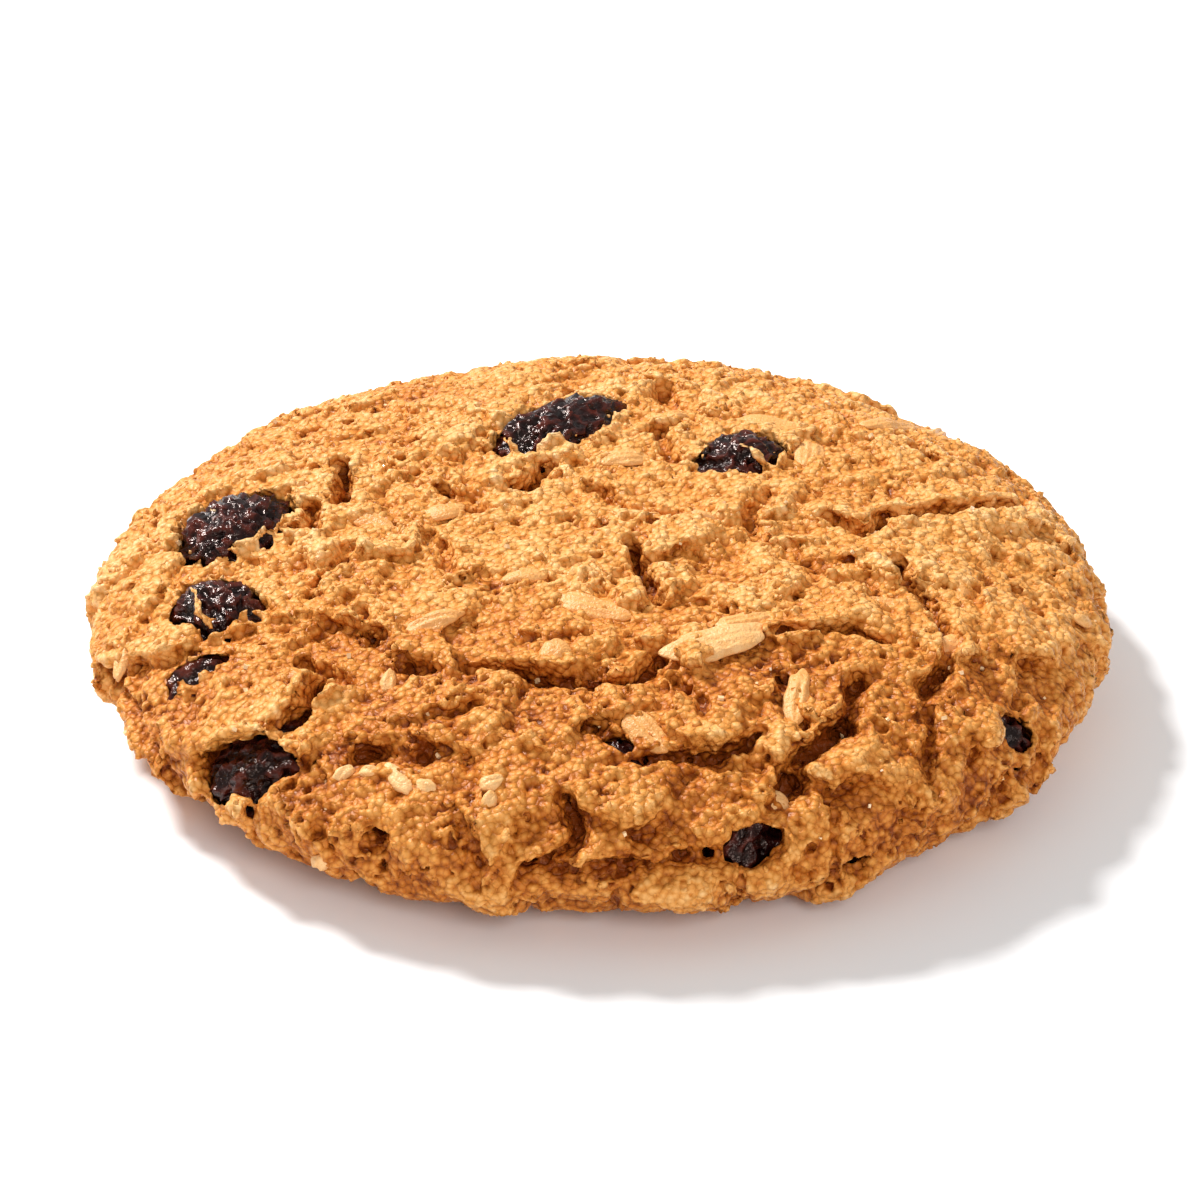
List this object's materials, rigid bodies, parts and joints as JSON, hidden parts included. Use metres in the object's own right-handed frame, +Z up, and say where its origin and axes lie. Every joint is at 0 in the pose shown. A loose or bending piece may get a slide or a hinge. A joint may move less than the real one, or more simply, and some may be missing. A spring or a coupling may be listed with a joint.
{
  "type": "oatmeal raisin cookie",
  "caption": "Round baked oatmeal cookie with a crumbly cracked crust, rolled oats in the dough and plump dark raisins set into it, resting on its flat underside.",
  "frame": {"origin": "middle of the cookie's footprint, on the surface it rests on", "axes": "+Z up through the cookie's thickness; +X to the right and -Y towards the camera in the picture"},
  "size_m": [0.088, 0.0867, 0.0173],
  "materials": {
    "dough": "matte, crumbly golden-brown baked oat dough",
    "raisin": "dark purple-brown, wrinkled, half-gloss dried grape skin"
  },
  "bodies": {
    "root": {"dough": "dough", "raisin_left": "raisin", "raisin_smeared": "raisin", "raisin_tucked": "raisin", "raisin_front_left": "raisin", "raisin_top": "raisin", "raisin_top_right": "raisin", "raisin_right": "raisin", "raisin_front": "raisin", "raisin_low_right": "raisin", "raisin_in_crack": "raisin", "raisin_back_right": "raisin", "raisin_back_left": "raisin", "raisin_under_left": "raisin", "raisin_under_right": "raisin"}
  },
  "joints": []
}
